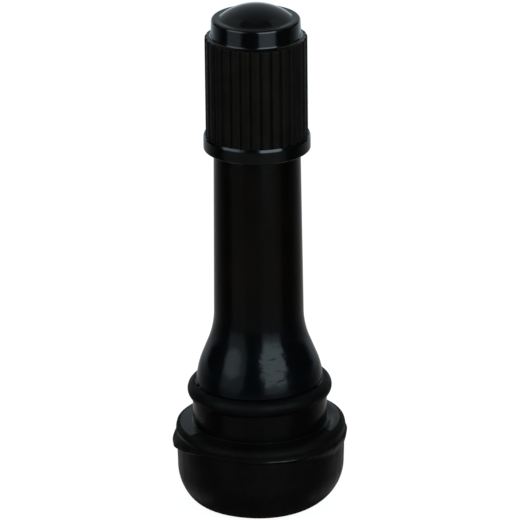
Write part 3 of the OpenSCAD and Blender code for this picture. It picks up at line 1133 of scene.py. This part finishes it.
# %% Table
fan_y = -12
card_lift = 0.05
far_tint = (0.92, 1.08, 1.25)
behind_left = [(-180, 0.40), (-160, 0.40), (-150, 0.32), (-125, 0.12), (-107, 0.03), (-95, 0)]
behind_right = [(-azimuth, grey) for azimuth, grey in behind_left[::-1]]


def fan_finish(name, stops, tint):
    """
    A table whose glow changes with the azimuth round the fan's point. A quarter turn puts the front first,
    so that a radial gradient runs from 0 to 1 as the azimuth runs from -180 to 180 degrees.
    """
    material = card_finish(name, 1.0)
    place = add(material.node_tree, "TexCoord")
    turned = after(place.outputs["Object"], "Mapping", "Vector", Location=(fan_y * MM, 0, 0),
                   Rotation=(0, 0, np.pi / 2))
    angle = after(turned.outputs["Vector"], "TexGradient", "Vector")
    angle.gradient_type = "RADIAL"
    grade(angle.outputs["Fac"], [(azimuth / 360 + 0.5, grey) for azimuth, grey in stops], tint)
    return material


def bands(edges, left, middle, right):
    """Stops at eight azimuths: a left, a middle and a right grey, with soft steps between and to black."""
    return list(zip(edges, (0, left, left, middle, middle, right, right, 0)))


def fan_card(name, inner, outer, front_bands, start=-180, end=180, share=1.0, tint=(1, 1, 1)):
    """A ring of the table in front of the valve, with its own bands and a share of the glow behind."""
    left = [(azimuth, grey * share) for azimuth, grey in behind_left]
    right = [(azimuth, grey * share) for azimuth, grey in behind_right]
    finish = fan_finish(name, left + front_bands + right, tint)
    only_mirrored(disc(name, inner, outer, card_lift, start, end, fan_y), finish)


near_bands = bands((-84, -76, -44, -36, 4, 12, 62, 72), 0.22, 0.15, 0.23)
inner_bands = [(azimuth, grey * 0.6) for azimuth, grey in near_bands]
middle_bands = bands((-84, -76, -44, -36, 4, 12, 64, 74), 0.17, 0.18, 0.18)
outer_bands = bands((-84, -76, -44, -36, 4, 12, 64, 74), 0.10, 0.11, 0.11)
far_bands = bands((-82, -78, -42, -38, 6, 10, 50, 54), 0.58, 0, 0.95)
edge_bands = bands((-82, -76, -44, -38, 6, 10, 50, 54), 0.48, 0, 0.8)
fan_card("inner_card", 0.1, 46, inner_bands, -126, 126)
fan_card("near_front_card", 46, 75, near_bands, -126, 126)
fan_card("near_back_card", 33, 75, near_bands, 126, 234)
fan_card("middle_card", 75, 88, middle_bands)
fan_card("outer_card", 88, 133, outer_bands)
fan_card("far_card", 133, 180, far_bands, share=1.6, tint=far_tint)
fan_card("edge_card", 180, 800, edge_bands, share=2.0, tint=far_tint)
# These two dim cards are painted shade: they darken the floor under the base and just in front of it, as
# reflections see it, where the base shades that floor.
shade_card = card_finish("shade_card", 0.1)
only_mirrored(disc("foot_shade_card", 8.5, 13, card_lift + 0.01, -50, 50), shade_card)
only_mirrored(disc("shade_card", 3.5, 8.5, card_lift + 0.02), shade_card)

# %% Wall
wall_distance = 900
side_distance = 895
front_reach = 138
wall_stops = [(0.08, 1.0), (0.22, 0.42), (0.36, 0.42), (0.55, 0.34), (0.75, 0.27), (1.0, 0.12)]
wall_tint = (0.86, 1.0, 1.06)


def wall_finish():
    """A wall whose glow changes with height: a height over the wall's distance is an elevation's sine."""
    material = card_finish("graded_wall", 1.0)
    place = add(material.node_tree, "TexCoord")
    parts = after(place.outputs["Object"], "SeparateXYZ", "Vector")
    sine = after(parts.outputs["Z"], "MapRange", "Value", From_Max=wall_distance * MM)
    grade(sine.outputs["Result"], wall_stops, wall_tint)
    return material


def shell(name, radius, start, end, low, high):
    """Part of a sphere round the valve, between two azimuths and two elevations."""
    a = np.radians(np.linspace(start, end, 49))[None, :]
    e = np.radians(np.linspace(low, high, 25))[:, None]
    x, y, z = np.broadcast_arrays(np.sin(a) * np.cos(e), -np.cos(a) * np.cos(e), np.sin(e))
    return sheet(name, radius * np.stack([x, y, z], axis=-1))


black_card = card_finish("black_card", 0.0)
dim_card = card_finish("dim_card", 0.07)
side_card = card_finish("side_card", 0.3)
only_mirrored(shell("front_card", wall_distance, -front_reach, front_reach, 0, 50), black_card)
only_mirrored(shell("top_card", wall_distance, -front_reach, front_reach, 50, 90), dim_card)
for side, name in ((-1, "left"), (1, "right")):
    end = side * front_reach
    only_mirrored(shell(name + "_high_card", side_distance, side * 78, end, 48, 65), side_card)
    only_mirrored(shell(name + "_side_card", side_distance, side * 100, end, 28, 48), side_card)
only_mirrored(shell("wall_card", wall_distance, front_reach, 360 - front_reach, 0, 90), wall_finish())
